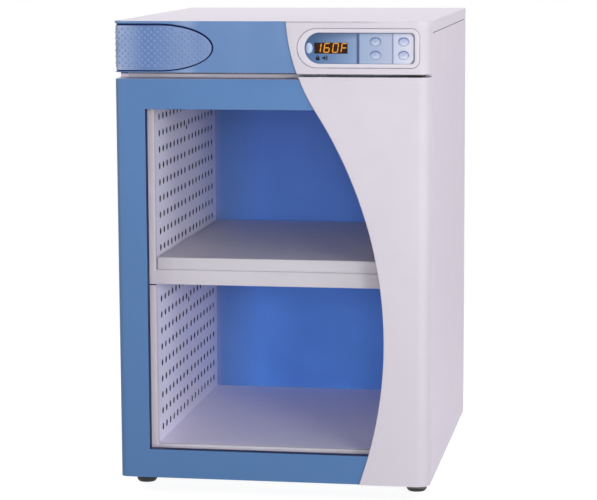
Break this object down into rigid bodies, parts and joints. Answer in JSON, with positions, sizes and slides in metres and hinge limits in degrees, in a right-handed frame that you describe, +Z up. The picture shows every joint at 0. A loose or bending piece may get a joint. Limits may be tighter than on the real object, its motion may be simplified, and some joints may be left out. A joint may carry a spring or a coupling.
{
  "type": "blanket warming cabinet",
  "caption": "Free-standing heated cabinet with a glazed hinged door, a keypad header, two compartments and perforated warm-air side walls.",
  "frame": {"origin": "on the floor, under the middle of the overall box", "axes": "+X to the right seen from the front, +Y from the door to the rear, +Z up"},
  "size_m": [0.4572, 0.534, 0.691],
  "materials": {
    "white_paint": "satin powder coat",
    "liner_paint": "satin powder coat",
    "blue_back": "satin enamel",
    "white_plastic": "semi-gloss moulded",
    "blue_plastic": "semi-gloss moulded",
    "blue_paint": "satin powder coat",
    "pad_blue": "soft, dotted",
    "panel_film": "satin printed film",
    "display": "smoked",
    "lens": "translucent",
    "circuit": "solder-masked laminate",
    "black_plastic": "matte",
    "black_rubber": "matte",
    "grey_rubber": "satin",
    "nylon": "natural",
    "zinc": "zinc plated",
    "galvanised": "galvanised sheet",
    "heater_steel": "heat-tinted",
    "fan_aluminium": "mill",
    "motor_paint": "semi-gloss",
    "glass": "clear toughened",
    "fibre": "glass-fibre batt"
  },
  "bodies": {
    "cabinet": {"side_panel_left": "white_paint", "side_panel_right": "white_paint", "rear_panel": "white_paint", "base_pan": "galvanised", "top_cover": "white_paint", "face_frame_upper": "liner_paint", "face_frame_lower": "liner_paint", "duct_panel_upper_left": "liner_paint", "duct_panel_lower_left": "liner_paint", "duct_panel_upper_right": "liner_paint", "duct_panel_lower_right": "liner_paint", "duct_wall_left": "galvanised", "duct_wall_right": "galvanised", "insulation_left": "fibre", "insulation_right": "fibre", "insulation_rear": "fibre", "insulation_floor": "fibre", "chamber_back": "blue_back", "chamber_floor": "liner_paint", "divider_deck": "liner_paint", "ceiling_panel": "liner_paint", "equipment_deck": "galvanised", "fan_motor": "motor_paint", "heater_coil": "heater_steel", "air_probe": "zinc", "limit_thermostat": "black_plastic", "power_supply": "zinc", "terminal_block": "nylon", "power_inlet": "black_plastic", "header_shell": "blue_plastic", "header_cover": "white_plastic", "grip_pad": "pad_blue", "control_bezel": "white_plastic", "control_panel": "panel_film", "led_display": "display", "indicator_lens": "lens", "control_board": "circuit", "board_standoffs": "nylon", "key_switches": "black_plastic", "upper_hinge": "zinc", "lower_hinge": "zinc", "foot_sockets": "zinc", "panel_screws": "zinc"},
    "door": {"door_skin": "blue_paint", "door_cover": "white_plastic", "door_pan": "liner_paint", "window_glass": "glass", "glazing_seal": "black_rubber", "door_gasket": "grey_rubber", "hinge_bushes": "nylon"},
    "shelf": {"shelf": "liner_paint"},
    "fan_wheel": {"impeller": "fan_aluminium"},
    "key_alarm": {"key_alarm": "panel_film"},
    "key_up": {"key_up": "panel_film"},
    "key_power": {"key_power": "panel_film"},
    "key_down": {"key_down": "panel_film"},
    "foot_front_left": {"foot_front_left": "black_plastic"},
    "foot_front_right": {"foot_front_right": "black_plastic"},
    "foot_rear_left": {"foot_rear_left": "black_plastic"},
    "foot_rear_right": {"foot_rear_right": "black_plastic"}
  },
  "joints": [
    {"name": "door_hinge", "type": "hinge", "parent": "cabinet", "child": "door", "pos_m": [0.2174, -0.249, 0.32], "axis": [0, 0, 1], "range_deg": [0, 115]},
    {"name": "shelf_lift", "type": "slide", "parent": "cabinet", "child": "shelf", "axis": [0, 0, 1], "range_m": [0, 0.015]},
    {"name": "fan_spin", "type": "hinge", "parent": "cabinet", "child": "fan_wheel", "pos_m": [0, -0.0052, 0.6118], "axis": [0, 0, 1], "continuous": true},
    {"name": "key_alarm_press", "type": "slide", "parent": "cabinet", "child": "key_alarm", "axis": [0, 1, 0], "range_m": [0, 0.0006], "stiffness_N_per_m": 2500},
    {"name": "key_up_press", "type": "slide", "parent": "cabinet", "child": "key_up", "axis": [0, 1, 0], "range_m": [0, 0.0006], "stiffness_N_per_m": 2500},
    {"name": "key_power_press", "type": "slide", "parent": "cabinet", "child": "key_power", "axis": [0, 1, 0], "range_m": [0, 0.0006], "stiffness_N_per_m": 2500},
    {"name": "key_down_press", "type": "slide", "parent": "cabinet", "child": "key_down", "axis": [0, 1, 0], "range_m": [0, 0.0006], "stiffness_N_per_m": 2500},
    {"name": "foot_front_left_height", "type": "slide", "parent": "cabinet", "child": "foot_front_left", "axis": [0, 0, -1], "range_m": [0, 0.012]},
    {"name": "foot_front_right_height", "type": "slide", "parent": "cabinet", "child": "foot_front_right", "axis": [0, 0, -1], "range_m": [0, 0.012]},
    {"name": "foot_rear_left_height", "type": "slide", "parent": "cabinet", "child": "foot_rear_left", "axis": [0, 0, -1], "range_m": [0, 0.012]},
    {"name": "foot_rear_right_height", "type": "slide", "parent": "cabinet", "child": "foot_rear_right", "axis": [0, 0, -1], "range_m": [0, 0.012]}
  ]
}
